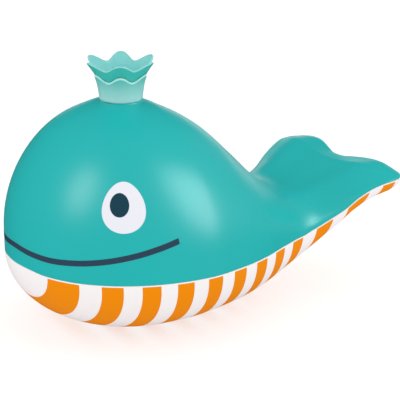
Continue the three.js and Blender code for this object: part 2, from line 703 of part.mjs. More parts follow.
// Silicone disc that lifts off the seat when someone blows; notches at its edge let the air past
function valveDisc() {
  let disc = solidOf(rod(DISC_R, 0, DISC_THICK));
  for (let k = 0; k < DISC_NOTCHES; k++) {
    const angle = (k / DISC_NOTCHES) * 2 * Math.PI;
    const notch = rod(DISC_NOTCH_R, -FIT, DISC_THICK + FIT, HOLE_STEPS * 2);
    disc = disc.subtract(solidOf(notch.translate(DISC_R * Math.cos(angle), DISC_R * Math.sin(angle), 0)));
  }
  return disc;
}

function mesh(name, solid, material) {
  const piece = new THREE.Mesh(geometryOf(solid), material);
  piece.name = name;
  return piece;
}

const whale = new THREE.Group();
whale.add(mesh("belly_shell", bellyShell(), WHITE));
whale.add(mesh("seam_gasket", seamGasket(), SILICONE));
whale.add(mesh("upper_shell", upperShell(), TEAL));
whale.add(mesh("air_hose", airHose(), SILICONE));

const crownAxis = new THREE.Group();
crownAxis.position.set(CROWN_X, 0, 0);
const place = (piece, height) => {
  piece.position.z = height;
  crownAxis.add(piece);
};
place(mesh("crown_cup", crownCup(), PALE_TEAL), CROWN_Z);
place(mesh("crown_funnel", crownFunnel(), PALE_TEAL), CROWN_Z);
place(mesh("foam_screen", foamScreen(), MILKY), SCREEN_Z);
place(mesh("crown_seal", crownSeal(), SILICONE), STEM_Z + SEAL_GROOVE_UP + SEAL_GROOVE_WIDTH / 2);
place(mesh("riser_tube", riserTube(), MILKY), 0);
place(mesh("riser_bell", riserBell(), MILKY), 0);
place(mesh("diffuser", diffuser(), MILKY), SPIGOT_Z);
whale.add(crownAxis);

const inletAxis = new THREE.Group();
inletAxis.position.set(INLET_X, 0, INLET_Z);
inletAxis.rotation.y = INLET_TURN;
inletAxis.add(mesh("mouthpiece", mouthpiece(), SILICONE));
inletAxis.add(mesh("valve_body", valveBody(), MILKY));
inletAxis.add(mesh("valve_cap", valveCap(), MILKY));
const disc = mesh("valve_disc", valveDisc(), SILICONE);
disc.position.z = VALVE_START + VALVE_SEAT + FIT;
inletAxis.add(disc);
whale.add(inletAxis);

export default whale;
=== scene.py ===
"""Looks of the bubble-blowing whale bath toy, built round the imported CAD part.

Sizes are in millimetres in the part's frame (x from nose to tail, y across, z up) and turn to metres
where a mesh is made. The shells and the spout are drawn finer than the solids, from the same sizes.
"""

import math

import bmesh
import bpy
from mathutils import Matrix, Vector
from mathutils.bvhtree import BVHTree


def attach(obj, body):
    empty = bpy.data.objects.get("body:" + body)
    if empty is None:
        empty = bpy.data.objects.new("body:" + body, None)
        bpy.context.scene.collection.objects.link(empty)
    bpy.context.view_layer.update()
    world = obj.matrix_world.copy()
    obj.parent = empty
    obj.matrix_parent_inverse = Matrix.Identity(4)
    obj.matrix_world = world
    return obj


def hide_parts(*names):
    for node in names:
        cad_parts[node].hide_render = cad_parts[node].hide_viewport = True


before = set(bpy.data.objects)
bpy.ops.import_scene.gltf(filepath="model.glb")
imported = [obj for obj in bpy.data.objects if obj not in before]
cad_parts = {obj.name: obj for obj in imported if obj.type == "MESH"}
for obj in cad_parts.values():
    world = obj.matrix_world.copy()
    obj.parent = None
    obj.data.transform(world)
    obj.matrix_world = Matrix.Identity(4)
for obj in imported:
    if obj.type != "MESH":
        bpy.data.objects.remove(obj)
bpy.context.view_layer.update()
MM = 0.001

# Body outline
NOSE_X = -107
HEAD_X = -31  # widest station of the head
HEAD_HALF_WIDTH = 66.4
DOME_X = -51  # highest station of the head
DOME_TOP = 77.6  # above the seam's level
DOME_ROUND = 1.9  # 2 makes the front of the dome an ellipse, less makes it leaner
SEAM_Z = 39
SKIRT = 12  # upright wall between the seam and the dome
CHIN_X = -42
LOBE_X = 94
TAIL_END_X = 110.7
TAIL_ROUND = 3.8
NOTCH_X = 54
NOTCH_DEPTH = 13
NOTCH_WIDTH = 26
HALF_WIDTH = [
    (HEAD_X, HEAD_HALF_WIDTH), (-7, 62), (10, 56.2), (27, 48), (44, 41.2), (52, 40), (61, 41), (78, 45.6),
    (LOBE_X, 50.8),
]
SEAM_RISE = [  # towards the tail
    (36, 0), (44, 0.3), (52, 2.2), (61, 6), (70, 10.8), (78, 17), (86, 21.2), (LOBE_X, 23.6),
    (TAIL_END_X, 25),
]
BACK_HEIGHT = [  # above the seam's level
    (DOME_X, DOME_TOP), (-31, DOME_TOP - 2.1), (-21, DOME_TOP - 5.4), (-6, DOME_TOP - 14), (9, 49.8),
    (24, 34.8), (36, 25.2), (46, 19.4), (58, 17.5), (72, 20.3), (LOBE_X, 27.6),
]
KEEL_HEIGHT = [  # above the floor, and what falls below it makes the flat under the belly
    (HEAD_X, -1.2), (-1, 0.4), (24, 4), (39, 9), (54, 17), (66, 26.4), (78, 36.8), (LOBE_X, 46.4),
    (TAIL_END_X, 49),
]
SEAM_SWAY = [  # the seam lifts a little at the nose and sags under the waist
    (NOSE_X, 1.6), (-102, 0.5), (-88, -0.2), (-30, -0.7), (10, -1), (70, -1), (LOBE_X, 0),
]
SKIRT_SHARE = [(-46, 1), (-16, 0.82), (14, 0.38), (44, 0.05)]
LOBE_RISE = [(34, 0), (54, 1.9), (74, 2.2), (LOBE_X, 2.4)]  # lobes over the arch of the tail
LOBE_OUT = 1.5  # over 1 moves the lobes' crests outwards

# Shells and seam
WALL = 3
SEAM_GAP = 0.1  # drawn closer than the solids, which keep a running gap
EDGE = 0.3  # rounding of the rims at the seam
RIM_ROUND = [(0.6, 0), (0.15, 0.4)]  # shares of that rounding, in from the wall and away from the seam
GASKET_INSET = 1.0
GASKET_WIDTH = 1.0
GASKET_DEPTH = 0.9
GASKET_EDGE = 0.05  # the cord's shoulders lie this far under the rim
GASKET_PROUD = 0.04
TAB_X = (-78, -36, 6)
TAB_WIDTH = 8
TAB_THICK = 2
TAB_ABOVE = 5
TAB_BELOW = 4
TAB_CLEARANCE = 1.2
TAB_ROOT = 0.8  # how far a tab reaches into the wall above the seam
CHAMFER = 0.3  # on the spout's seat and the inlet's socket

# Prints
STRIPE_START_X = -100.6
FIRST_STRIPE_X = -101.5  # the first stripe starts a little sooner
STRIPE_PITCH = 16.97
STRIPE_WIDTH = 8.8
STRIPES = 9  # at an even pitch, then the wider ones on the tail
TAIL_STRIPES = [(54, 64), (72.4, 84), (91.4, 99)]
STRIPE_LEAN = [  # how far the stripes' lower ends lean towards the tail
    (NOSE_X, 0), (-90, 2), (-60, 3), (-20, 2), (20, 0), (50, -3.5), (80, -5), (TAIL_END_X, 0),
]
RIM_LINE = 0.7  # bare line between the stripes and the seam
PRINT_X = -43  # turns of the prints are measured about this station
EYE_TURN = 60.3  # degrees round the head from the nose
EYE_Z = 77.3
EYE_HALF_TURN = 10.5
EYE_HALF_HEIGHT = 11.8
EYE_EGG = 0.08  # fuller below
PUPIL_TURN = 58.3
PUPIL_Z = 78.7
PUPIL_HALF_TURN = 4.7
PUPIL_HALF_HEIGHT = 5.5
MOUTH = [  # turn and height
    (0, 50.1), (13, 49.2), (25, 48.6), (38, 49.35), (50, 50.9), (63, 53.55), (76, 57.2), (85, 60.2),
]
MOUTH_WIDTH = 3.0
INK = 0.06  # height of an ink film, thick enough to show
SLOPE_STEP = 0.5  # degrees each way, for the slope of the mouth line

# Spout
CROWN_X = -44
SEAT_RISE = 1.1
SEAT_R = 11.6
SWELL = 2.1  # the dome swells round the seat and runs out
SWELL_R = 18
STEM_R = 8.5
STEM_LENGTH = 16.6
LEDGE = 1.6
LEDGE_R = 5.6
SEAL_GROOVE_UP = 7
SEAL_GROOVE_WIDTH = 2
SEAL_GROOVE_DEPTH = 1.2
SCALLOPS = 6
CUP_BASE_R = 11.2
CUP_RIM_R = 13.6
CUP_FLARE = 1
CUP_RIM_UP = 12.4
CUP_WAVE = 1.6
CUP_WALL = 1.2
CUP_FLOOR = 1.6
CUP_SEAT_GAP = 0.05  # drawn almost down to the seat
CUP_FOOT_ROUND = 0.4
BEAD_R = 0.7  # rolled rim of the cup
BEAD_OUT = 0.1  # the bead stands out of the wall by this
FUNNEL_TUBE_R = 6.6
FUNNEL_WALL = 1.2
FUNNEL_RIM_R = 16.85
FUNNEL_FLARE = 2.15
FUNNEL_RIM_UP = 18.9
FUNNEL_WAVE = 1.9
SHOULDER_GAP = 0.1  # the funnel's shoulder closes on the cup's rolled rim
SCREEN_THICK = 1.2
COLLAR_LENGTH = 18.7
OVERSHOOT = 5  # how far the rod that cuts the collar's bore reaches past the seat
FIT = 0.3  # gap between pieces that are pushed together

# Riser, hose and inlet
RISER_WALL = 1.8
RISER_BORE_R = 7.5
RISER_HEAD_GAP = 2.6
BELL_R = 20
BELL_FLOOR_GAP = 3.4
BELL_HEIGHT = 40
BELL_SOCKET = 8
ARCH_WIDTH = 9
ARCH_HEIGHT = 6
SPIGOT_R = 3
SPIGOT_REACH = 30
SPIGOT_Z = 9.6
HOSE_GRIP = 6.5
HOSE_R = 4.3
HOSE_ROUTE = [(12, 17), (31, 34)]  # x and height on the way up from the belly
INLET_X = 96.5
INLET_Z = 55
INLET_SLOPE = math.radians(12)
SOCKET_R = 6
SOCKET_BORE_R = 4.3
SOCKET_LENGTH = 21
LIP_RECESS = 0.4
MOUTH_BORE_R = 2.4
MOUTH_LIP_R = 5.6
MOUTH_LIP = 2.9
MOUTH_EASE = 0.4  # the bore opens by this at the lip
MOUTH_SHAFT = 9
BARB_END = 42.6

DOME_Z = SEAM_Z + DOME_TOP
SEAT_Z = DOME_Z + SEAT_RISE
CROWN_Z = SEAT_Z + FIT
COLLAR_Z = SEAT_Z - COLLAR_LENGTH
COLLAR_BORE_R = STEM_R + FIT
TUBE_R = RISER_BORE_R + RISER_WALL
BELL_Z = KEEL_HEIGHT[0][1] + WALL + BELL_FLOOR_GAP
TUBE_END_Z = BELL_Z + BELL_HEIGHT

# Fineness of the drawn surfaces
NOSE_STEPS = 40
BODY_STEP = 1.6
TAIL_STEPS = 24
STATION_GAP = 0.25  # other stations keep this far from a stripe's edge
ARC_STEPS = 72
SKIRT_STEPS = 6
TURN_STEPS = 72
LIP_STEPS = 6
BEAD_STEPS = 12
CUP_STEPS = 10
FUNNEL_STEPS = 10
BELL_STEPS = 16
ROLL_STEPS = 10
PRINT_RINGS = 12
MOUTH_STEPS = 80  # on each side of the nose
HOSE_STEPS = 16  # between two points of the route
HOSE_ROUND_STEPS = 6
SHARP = 35  # degrees: edges that turn more than this stay crisp
SHARP_SOFT = 50  # for ink films and the soft mouthpiece
SHARP_ROLLED = 60
MERGE = 0.002  # points closer than this are one


def through(pairs):
    """Smooth curve through pairs that starts level and never overshoots between them."""
    steps = [b[0] - a[0] for a, b in zip(pairs, pairs[1:])]
    slopes = [(b[1] - a[1]) / step for a, b, step in zip(pairs, pairs[1:], steps)]
    tangents = [0]
    for i in range(1, len(slopes)):
        before = 2 * steps[i] + steps[i - 1]
        after = steps[i] + 2 * steps[i - 1]
        turns = slopes[i - 1] * slopes[i] <= 0
        tangents.append(0 if turns else (before + after) / (before / slopes[i - 1] + after / slopes[i]))
    tangents.append(slopes[-1])

    def value(x):
        if x <= pairs[0][0]:
            return pairs[0][1]
        if x >= pairs[-1][0]:
            return pairs[-1][1]
        i = max(k for k in range(len(steps)) if pairs[k][0] <= x)
        t = (x - pairs[i][0]) / steps[i]
        start = pairs[i][1] * (1 + 2 * t) * (1 - t) ** 2 + steps[i] * tangents[i] * t * (1 - t) ** 2
        end = pairs[i + 1][1] * t * t * (3 - 2 * t) + steps[i] * tangents[i + 1] * t * t * (t - 1)
        return start + end

    return value


half_width = through(HALF_WIDTH)
seam_rise = through(SEAM_RISE)
seam_sway = through(SEAM_SWAY)
back_height = through(BACK_HEIGHT)
keel_height = through(KEEL_HEIGHT)
skirt_share = through(SKIRT_SHARE)
lobe_rise = through(LOBE_RISE)
stripe_lean = through(STRIPE_LEAN)


def quarter(share, power=2):
    """Height of a quarter of a round at a share of its length: power 2 is an ellipse."""
    return max(0, 1 - max(0, share) ** power) ** (1 / power)


def section(x, inset):
    """Half width, seam, skirt, rise, depth, lobe and notch pull of the body at a station."""
    along = min(x, LOBE_X)
    past = max(0, (x - LOBE_X) / (TAIL_END_X - inset - LOBE_X))
    close = max(0, 1 - past**TAIL_ROUND) ** (1 / TAIL_ROUND)
    blunt = math.sqrt(close)  # the tail keeps its thickness almost to the end
    sway = seam_sway(x)
    seam = SEAM_Z + seam_rise(x) + sway
    skirt = SKIRT * skirt_share(x) - sway
    if x < HEAD_X:
        width = (HEAD_HALF_WIDTH - inset) * quarter((HEAD_X - x) / (HEAD_X - NOSE_X - inset))
    else:
        width = half_width(along) - inset
    if x < DOME_X:
        front = (DOME_X - x) / (DOME_X - NOSE_X - inset)
        rise = (DOME_TOP - SKIRT - inset) * quarter(front, DOME_ROUND)
    else:
        rise = max(0, SEAM_Z + back_height(along) - inset - seam - skirt)
    chin = quarter((CHIN_X - x) / (CHIN_X - NOSE_X - inset))
    notch = min(1, max(0, (x - NOTCH_X) / (TAIL_END_X - inset - NOTCH_X)))
    return {
        "close": close,
        "width": close * width,
        "seam": seam,
        "skirt": blunt * skirt,
        "rise": blunt * rise,
        "depth": close * chin * (seam - keel_height(x) - inset),
        "lobe": blunt * lobe_rise(x),
        "pull": NOTCH_DEPTH * notch**2,
    }


def body_point(x, y, z, pull):
    """The notch pulls the middle of the tail forward."""
    return Vector((x - pull * math.exp(-((y / NOTCH_WIDTH) ** 2)), y, z))


def stations(edges=()):
    """Stations along the body, close together at both ends, with the stripe edges among them."""
    nose = HEAD_X - NOSE_X
    tail = TAIL_END_X - LOBE_X
    spread = [HEAD_X - nose * math.cos(math.pi / 2 * k / NOSE_STEPS) for k in range(NOSE_STEPS)]
    count = round((LOBE_X - HEAD_X) / BODY_STEP)
    spread += [HEAD_X + (LOBE_X - HEAD_X) * k / count for k in range(count)]
    spread += [LOBE_X + tail * math.sin(math.pi / 2 * k / TAIL_STEPS) for k in range(TAIL_STEPS + 1)]
    kept = [x for x in spread if all(abs(x - edge) > STATION_GAP for edge in edges)]
    return sorted(kept + list(edges))


def drawn_in(x, inset):
    """The station on an inset skin that belongs to a station on the outside."""
    if x < HEAD_X:
        return HEAD_X - (HEAD_X - x) * (HEAD_X - NOSE_X - inset) / (HEAD_X - NOSE_X)
    if x > LOBE_X:
        return LOBE_X + (x - LOBE_X) * (TAIL_END_X - inset - LOBE_X) / (TAIL_END_X - LOBE_X)
    return x


def rim_edge(width, rim, round_off, way):
    """Rounded edge of a shell at the seam, which turns up if the way is 1 and down if it is -1."""
    return [(width - inwards * round_off, rim + way * away * round_off) for inwards, away in RIM_ROUND]


def upper_rows(inset):
    """Rows of points over the back, from the near rim to the far one."""
    rows = []
    for station in stations():
        x = drawn_in(station, inset)
        here = section(x, inset)
        rim = here["seam"] + SEAM_GAP / 2
        round_off = min(EDGE * here["close"], here["width"]) if inset == 0 else 0
        wall = rim_edge(here["width"], rim, round_off, 1)
        skirt = [max(round_off, here["skirt"] * k / SKIRT_STEPS) for k in range(1, SKIRT_STEPS)]
        wall += [(here["width"], rim + up) for up in skirt]
        row = [body_point(x, -y, z, here["pull"]) for y, z in wall]
        for k in range(ARC_STEPS + 1):
            angle = math.pi * k / ARC_STEPS
            across = math.cos(angle)
            crest = here["lobe"] * math.sin(math.pi * abs(across) ** LOBE_OUT) ** 2
            z = rim + max(here["skirt"], round_off) + here["rise"] * math.sin(angle) + crest
            point = body_point(x, -here["width"] * across, z, here["pull"])
            from_spout = math.hypot(point.x - CROWN_X, point.y)
            point.z = min(SEAT_Z - inset, point.z + SWELL * math.exp(-((from_spout / SWELL_R) ** 4)))
            row.append(point)
        row += [body_point(x, y, z, here["pull"]) for y, z in reversed(wall)]
        rows.append(row)
    return rows


def lower_rows(inset, edges=()):
    """Rows of points under the belly, from the near rim to the far one."""
    rows = []
    for station in stations(edges):
        x = drawn_in(station, inset)
        here = section(x, inset)
        rim = here["seam"] - SEAM_GAP / 2
        round_off = min(EDGE * here["close"], here["width"]) if inset == 0 else 0
        # the bare line takes half the depth at most
        first = math.asin(min(1 / 2, RIM_LINE / max(here["depth"], RIM_LINE)))
        angles = [first + (math.pi - 2 * first) * k / ARC_STEPS for k in range(ARC_STEPS + 1)]
        edge = rim_edge(here["width"], rim, round_off, -1)
        row = [body_point(x, -y, z, here["pull"]) for y, z in edge]
        lean = stripe_lean(x) if inset == 0 else 0  # the stripes are on the outside alone
        for angle in angles:
            along = x + lean * math.sin(angle)
            there = section(along, inset)
            z = there["seam"] - SEAM_GAP / 2 - there["depth"] * math.sin(angle)
            if inset == 0:
                z = max(0, z)  # the flat that the toy rests on
            row.append(body_point(along, -there["width"] * math.cos(angle), z, there["pull"]))
        row += [body_point(x, y, z, here["pull"]) for y, z in reversed(edge)]
        rows.append(row)
    return rows


def rim_of(rows):
    """Loop round the rim, nose to tail on the near side and back on the far side."""
    return [row[0] for row in rows] + [row[-1] for row in reversed(rows[1:-1])]


class Skin:
    """Quads gathered from rows of points in millimetres, then made one mesh in metres."""

    def __init__(self):
        self.mesh = bmesh.new()

    def face(self, corners, material):
        made = self.mesh.faces.new([self.mesh.verts.new(point * MM) for point in corners])
        made.material_index = material
        made.smooth = True

    def rows(self, rows, material=lambda i, j: 0):
        for i, (here, there) in enumerate(zip(rows, rows[1:])):
            for j in range(len(here) - 1):
                self.face([here[j], there[j], there[j + 1], here[j + 1]], material(i, j))

    def loops(self, loops, material=0):
        self.rows([[*loop, loop[0]] for loop in loops], lambda i, j: material)

    def finish(self, name, body, *materials, sharp=SHARP):
        bmesh.ops.remove_doubles(self.mesh, verts=self.mesh.verts, dist=MERGE * MM)
        bmesh.ops.dissolve_degenerate(self.mesh, edges=self.mesh.edges, dist=MERGE * MM)
        bmesh.ops.recalc_face_normals(self.mesh, faces=self.mesh.faces)
        return place(self.mesh, name, body, materials, sharp)


def place(mesh, name, body=None, materials=(), sharp=SHARP):
    """An object of the mesh that rides on a body, with edges over the sharp angle kept crisp."""
    for edge in mesh.edges:
        edge.smooth = edge.calc_face_angle(0) < math.radians(sharp)
    data = bpy.data.meshes.new(name)
    mesh.to_mesh(data)
    mesh.free()
    for material in materials:
        data.materials.append(material)
    piece = bpy.data.objects.new(name, data)
    bpy.context.scene.collection.objects.link(piece)
    if body:
        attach(piece, body)
    return piece


def turned(name, body, material, profile, axis, steps=TURN_STEPS, sharp=SHARP, lining=None):
    """Turned piece about an axis, from tuples of radius and height that close on themselves.
    Two more numbers in a tuple are how far its scallops reach out and up.
    A lining is a second material and the number of the row that it starts from."""
    loops = []
    for radius, height, *wave in profile:
        out_wave, up_wave = wave or (0, 0)
        loop = []
        for k in range(steps):
            angle = 2 * math.pi * k / steps
            ripple = math.cos(SCALLOPS * angle)
            reach = radius + out_wave * ripple
            point = Vector((-reach * math.cos(angle), reach * math.sin(angle), height + up_wave * ripple))
            loop.append(axis @ point)
        loops.append(loop)
    loops.append(loops[0])
    skin = Skin()
    if not lining:
        skin.loops(loops)
        return skin.finish(name, body, material, sharp=sharp)
    inside, first = lining
    skin.loops(loops[: first + 1])
    skin.loops(loops[first:], 1)
    return skin.finish(name, body, material, inside, sharp=sharp)


def cut(piece, *tools):
    """Takes the tools away from a piece for good."""
    for tool in tools:
        change = piece.modifiers.new("cut", "BOOLEAN")
        change.operation = "DIFFERENCE"
        change.solver = "EXACT"
        change.object = tool
    bpy.context.view_layer.update()
    shape = piece.evaluated_get(bpy.context.evaluated_depsgraph_get())
    mesh = bpy.data.meshes.new_from_object(shape)
    piece.modifiers.clear()
    piece.data = mesh
    for tool in tools:
        bpy.data.objects.remove(tool)


def rod(radius, start, end, matrix):
    """Plain rod for cutting, along z of its own frame."""
    mesh = bmesh.new()
    shift = Matrix.Translation((0, 0, (start + end) / 2 * MM))
    bmesh.ops.create_cone(
        mesh, cap_ends=True, segments=TURN_STEPS, radius1=radius * MM, radius2=radius * MM,
        depth=(end - start) * MM, matrix=metres(matrix) @ shift,
    )
    return place(mesh, "rod")


def metres(matrix):
    """The same matrix with its place in metres."""
    moved = matrix.copy()
    moved.translation = moved.translation * MM
    return moved


CROWN_AXIS = Matrix.Translation((CROWN_X, 0, 0))
INLET_AXIS = Matrix.Translation((INLET_X, 0, INLET_Z)) @ Matrix.Rotation(-(math.pi / 2 + INLET_SLOPE), 4, "Y")


# Materials
DRIFT_MM = 60  # size of the slow drift of tone
GRAIN_STRENGTH = 0.5


def linear(code):
    """sRGB hex to linear colour."""
    channels = [int(code[i : i + 2], 16) / 255 for i in (1, 3, 5)]
    return [c / 12.92 if c <= 0.04045 else ((c + 0.055) / 1.055) ** 2.4 for c in channels] + [1]


def add(tree, kind, inputs=None, **settings):
    """A node with its settings, and its inputs set or linked."""
    node = tree.nodes.new(kind)
    for name, value in settings.items():
        setattr(node, name, value)
    for name, value in (inputs or {}).items():
        if isinstance(value, bpy.types.NodeSocket):
            tree.links.new(value, node.inputs[name])
        else:
            node.inputs[name].default_value = value
    return node


def moulded(name, colour, roughness, grain_mm, relief_mm, tint=0.03, fade=None, **shader):
    """A moulded or printed surface: a fine grain in relief, and a slow drift of tone over the part.
    A fade is the colour at a low height, that height, and the height where the main colour is reached."""
    material = bpy.data.materials.new(name)
    material.use_nodes = True
    tree = material.node_tree
    tree.nodes.clear()
    place_in = add(tree, "ShaderNodeTexCoord").outputs["Object"]
    grain = add(tree, "ShaderNodeTexNoise", {"Vector": place_in, "Scale": 1 / (grain_mm * MM), "Detail": 2})
    drift = add(tree, "ShaderNodeTexNoise", {"Vector": place_in, "Scale": 1 / (DRIFT_MM * MM), "Detail": 1})
    base = linear(colour)
    light = [min(1, c * (1 + tint)) for c in base[:3]] + [1]
    dark = [c * (1 - tint) for c in base[:3]] + [1]
    tone = add(tree, "ShaderNodeMix", {0: drift.outputs["Fac"], 6: dark, 7: light}, data_type="RGBA")
    if fade:
        deep, low, high = fade
        height = add(tree, "ShaderNodeSeparateXYZ", {"Vector": place_in})
        span = {"Value": height.outputs["Z"], "From Min": low * MM, "From Max": high * MM}
        share = add(tree, "ShaderNodeMapRange", span)
        ends = {0: share.outputs["Result"], 6: linear(deep), 7: tone.outputs[2]}
        tone = add(tree, "ShaderNodeMix", ends, data_type="RGBA")
    bump = add(
        tree, "ShaderNodeBump",
        {"Height": grain.outputs["Fac"], "Strength": GRAIN_STRENGTH, "Distance": relief_mm * MM},
    )
    surface = add(
        tree, "ShaderNodeBsdfPrincipled",
        {"Base Color": tone.outputs[2], "Roughness": roughness, "Normal": bump.outputs["Normal"], **shader},
    )
    add(tree, "ShaderNodeOutputMaterial", {"Surface": surface.outputs["BSDF"]})
    return material


# ABS moulded in a lightly sparked tool: even colour, broad soft highlights and edges that turn pale
teal_abs = moulded(
    "teal_abs_satin_moulded", "#0aabaa", roughness=0.35, grain_mm=0.8, relief_mm=0.02, IOR=1.53,
    **{"Specular IOR Level": 0.3, "Sheen Weight": 0.04, "Sheen Roughness": 0.3},
)
# The same ABS in white, for the belly: flatter, with hardly any shine
MATT = {"Specular IOR Level": 0.03}
white_abs = moulded(
    "white_abs_satin_moulded", "#e7e4e5", roughness=0.42, grain_mm=0.6, relief_mm=0.012, tint=0.01, IOR=1.53,
    **MATT,
)
# Pad-printed inks: flat colour with hardly any shine
INK_FILM = {"roughness": 0.5, "grain_mm": 0.5, "relief_mm": 0.006, "IOR": 1.5, **MATT}
orange_ink = moulded("orange_ink_pad_printed", "#e28406", **INK_FILM)
white_ink = moulded("white_ink_pad_printed", "#dbdde5", tint=0.01, **INK_FILM)
dark_ink = moulded("slate_ink_pad_printed", "#1a3c4a", **INK_FILM)
mouth_ink = moulded("grey_blue_ink_pad_printed", "#2c4052", **INK_FILM)
# Thin polypropylene: light soaks in and spreads, so it looks waxy
POLYPROPYLENE_IOR = 1.49
WAXY = {
    "IOR": POLYPROPYLENE_IOR, "Subsurface Weight": 0.4, "Subsurface Scale": 0.004,
    "Specular IOR Level": 0.24, "Sheen Weight": 0.5, "Sheen Roughness": 0.2,
}
# Cup of the spout: moulded, its colour fading paler towards its foot
cup_pp = moulded(
    "pale_teal_polypropylene_moulded", "#5eb9b3", roughness=0.35, grain_mm=0.8, relief_mm=0.01,
    fade=("#a8dcda", CROWN_Z, CROWN_Z + CUP_RIM_UP), **WAXY,
)
# Its rolled rim: the paler colour is a painted highlight along the bead
rim_pp_painted_highlight = moulded(
    "pale_teal_polypropylene_painted_highlight", "#a4e2dc", roughness=0.3, grain_mm=0.8, relief_mm=0.01, **WAXY,
)
# Outside of the funnel, polished in the tool and clear: its deeper colour is painted shade on this wall,
# which faces down under the petals
funnel_pp_painted_shade = moulded(
    "teal_polypropylene_painted_shade", "#3fb5ad", roughness=0.25, grain_mm=0.8, relief_mm=0.005, **WAXY,
)
# Inside of the funnel, the same plastic, satin from the tool: its pale colour is painted light on the open
# bowl, with a soft and even sheen
funnel_pp_painted_light = moulded(
    "pale_teal_polypropylene_painted_light", "#7ccac9", roughness=0.3, grain_mm=0.6, relief_mm=0.01, **WAXY,
)
# Unpigmented polypropylene of the inner pieces: milky, with a dull shine
milky_pp = moulded(
    "milky_polypropylene_moulded", "#dfe6e4", roughness=0.45, grain_mm=0.8, relief_mm=0.015, tint=0.02,
    IOR=POLYPROPYLENE_IOR,
)
# Cured silicone: soft and matt
silicone = moulded(
    "silicone_cured", "#e9ecea", roughness=0.6, grain_mm=0.4, relief_mm=0.02, tint=0.02, IOR=1.41,
)


# Upper shell
def upper_shell():
    """Back of the whale, with the spout's collar and the locating tabs."""
    outer, inner = upper_rows(0), upper_rows(WALL)
    skin = Skin()
    skin.rows(outer)
    skin.rows(inner)
    skin.loops([rim_of(outer), rim_of(inner)])
    shell = skin.finish("whale_back", "top", teal_abs)
    cut(shell, rod(COLLAR_BORE_R, COLLAR_Z, SEAT_Z + OVERSHOOT, CROWN_AXIS))
    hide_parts("upper_shell")
    collar = turned(
        "whale_collar", "top", teal_abs,
        [
            (COLLAR_BORE_R, COLLAR_Z), (COLLAR_BORE_R, SEAT_Z), (SEAT_R - CHAMFER, SEAT_Z),
            (SEAT_R, SEAT_Z - CHAMFER), (SEAT_R, DOME_Z - WALL), (SEAT_R, COLLAR_Z),
        ],
        CROWN_AXIS, sharp=SHARP_ROLLED,
    )
    for x in TAB_X:
        for side in (-1, 1):
            tab(x, side)


def tab(x, side):
    """Locating tab: a leg inside the belly's rim, rooted in the wall above the seam."""
    here = section(x, WALL)
    slope = section(x + 1, WALL)["width"] - here["width"]
    turn = Matrix.Rotation(math.atan2(side * slope, 1), 4, "Z")
    mesh = bmesh.new()
    root = TAB_CLEARANCE + TAB_THICK + TAB_ROOT
    for depth, low, offset in (
        (TAB_THICK, -TAB_BELOW, TAB_CLEARANCE + TAB_THICK / 2),
        (root, SEAM_GAP, root / 2 - TAB_ROOT),
    ):
        middle = Matrix.Translation((0, -side * offset * MM, (low + TAB_ABOVE) / 2 * MM))
        size = Matrix.Diagonal((TAB_WIDTH * MM, depth * MM, (TAB_ABOVE - low) * MM, 1))
        spot = Matrix.Translation((x * MM, side * here["width"] * MM, here["seam"] * MM))
        bmesh.ops.create_cube(mesh, size=1, matrix=spot @ turn @ middle @ size)
    number = x + 100  # keeps minus signs out of the name
    return place(mesh, f"whale_tab_{number}_{'near' if side < 0 else 'far'}", "top", [teal_abs])


# Belly with its stripes
def stripe_bands():
    """Start and end of each stripe at the seam."""
    starts = [STRIPE_START_X + STRIPE_PITCH * k for k in range(STRIPES)]
    bands = [(start, start + STRIPE_WIDTH) for start in starts]
    return [(FIRST_STRIPE_X, bands[0][1])] + bands[1:] + TAIL_STRIPES


def belly_shell():
    """Belly with its stripes, cut for the inlet, and the inlet's socket."""
    bands = stripe_bands()
    edges = [edge for band in bands for edge in band]
    spots = stations(edges)
    outer, inner = lower_rows(0, edges), lower_rows(WALL, edges)
    rim_rows = len(RIM_ROUND)

    def ink(i, j):
        middle = (spots[i] + spots[i + 1]) / 2
        bare = j < rim_rows or j >= ARC_STEPS + rim_rows
        return 1 if not bare and any(start < middle < end for start, end in bands) else 0

    skin = Skin()
    skin.rows(outer, ink)
    skin.rows(inner)
    skin.loops([rim_of(outer), rim_of(inner)])
    shell = skin.finish("whale_belly", "belly", white_abs, orange_ink)
    cut(
        shell,
        rod(MOUTH_LIP_R + LIP_RECESS, -SOCKET_LENGTH, 0, INLET_AXIS),
        rod(SOCKET_BORE_R, -FIT, SOCKET_LENGTH + FIT, INLET_AXIS),
    )
    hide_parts("belly_shell")
    socket = turned(
        "inlet_socket", "belly", white_abs,
        [
            (SOCKET_BORE_R, 0), (SOCKET_R - CHAMFER, 0), (SOCKET_R, CHAMFER), (SOCKET_R, SOCKET_LENGTH),
            (SOCKET_BORE_R, SOCKET_LENGTH),
        ],
        INLET_AXIS,
    )


def seam_gasket():
    """Silicone cord in the belly's rim, a little proud of it."""
    def loop(inset, drop):
        rows = []
        for station in stations():
            x = drawn_in(station, inset)
            here = section(x, inset)
            z = here["seam"] - SEAM_GAP / 2 - drop
            rows.append([body_point(x, side * here["width"], z, here["pull"]) for side in (-1, 1)])
        return rim_of(rows)

    near, far = GASKET_INSET, GASKET_INSET + GASKET_WIDTH
    ring = [
        loop(near, GASKET_DEPTH), loop(near, GASKET_EDGE), loop((near + far) / 2, -GASKET_PROUD),
        loop(far, GASKET_EDGE), loop(far, GASKET_DEPTH),
    ]
    skin = Skin()
    skin.loops([*ring, ring[0]])
    cord = skin.finish("seam_cord", "belly", silicone, sharp=SHARP_ROLLED)
    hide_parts("seam_gasket")


# Prints on the head
def head_surface():
    """The outside of the upper shell, for laying prints on."""
    rows = upper_rows(0)
    width = len(rows[0])
    points = [point for row in rows for point in row]
    quads = []
    for i in range(len(rows) - 1):
        for j in range(width - 1):
            first = i * width + j
            quads.append((first, first + width, first + width + 1, first + 1))
    return BVHTree.FromPolygons(points, quads)


